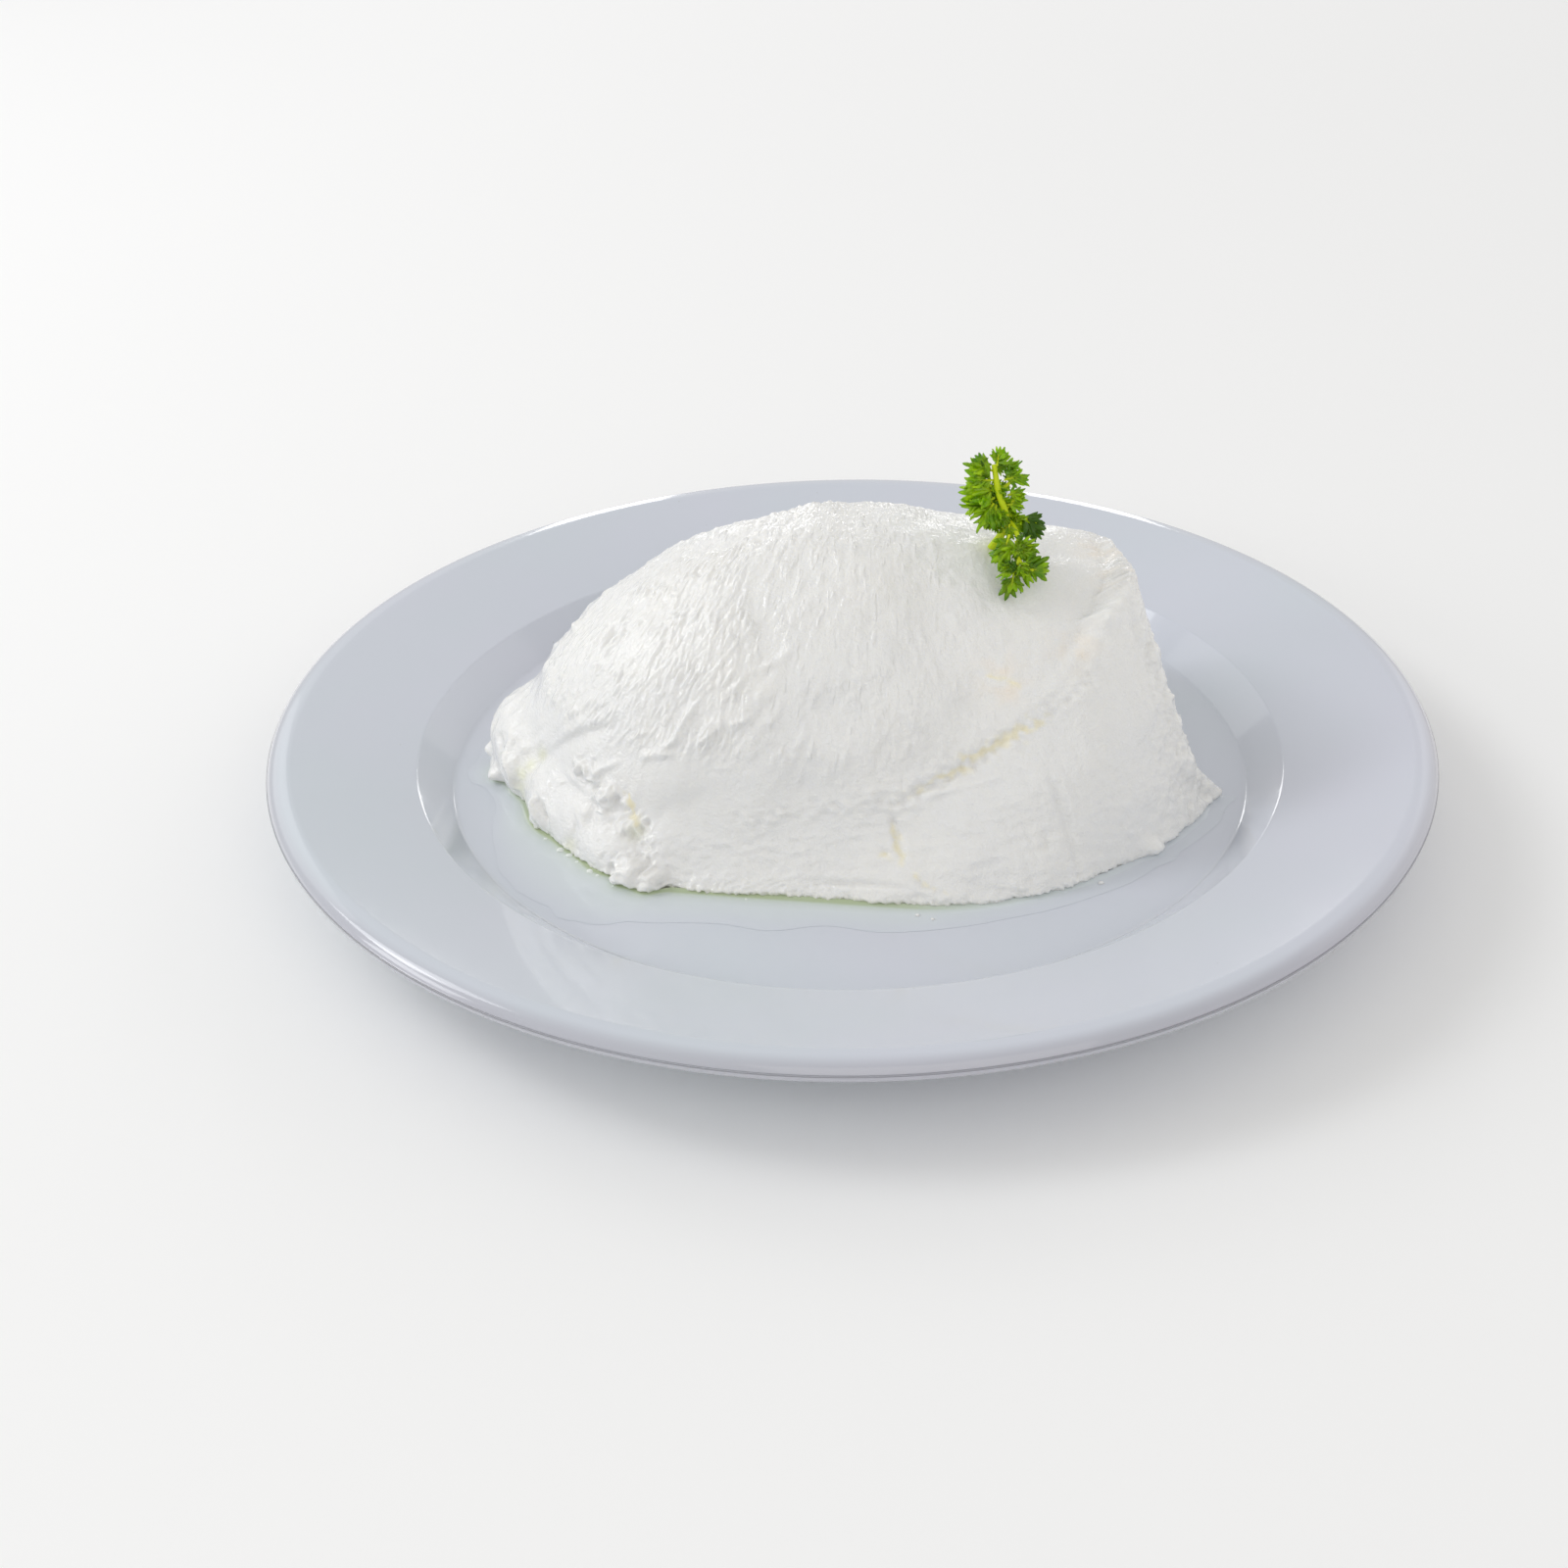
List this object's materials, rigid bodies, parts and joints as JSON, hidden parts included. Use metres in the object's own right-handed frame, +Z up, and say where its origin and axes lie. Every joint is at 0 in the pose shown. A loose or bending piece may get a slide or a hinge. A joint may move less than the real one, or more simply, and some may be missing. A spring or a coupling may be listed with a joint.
{
  "type": "plate of strained yogurt",
  "caption": "Scoop of thick strained yogurt with a sprig of curly parsley, served on a round wide-rimmed plate.",
  "frame": {"origin": "on the table under the centre of the plate, at the bottom of its foot ring", "axes": "+Z up, +X towards the steep torn end of the scoop, +Y away from the side that faces the eater"},
  "size_m": [0.22, 0.22, 0.0735],
  "materials": {
    "glaze": "smooth white glaze",
    "yogurt": "moist, finely dragged",
    "parsley": "fresh leaf"
  },
  "bodies": {
    "root": {"plate": "glaze", "yogurt": "yogurt", "parsley_sprig": "parsley"}
  },
  "joints": []
}
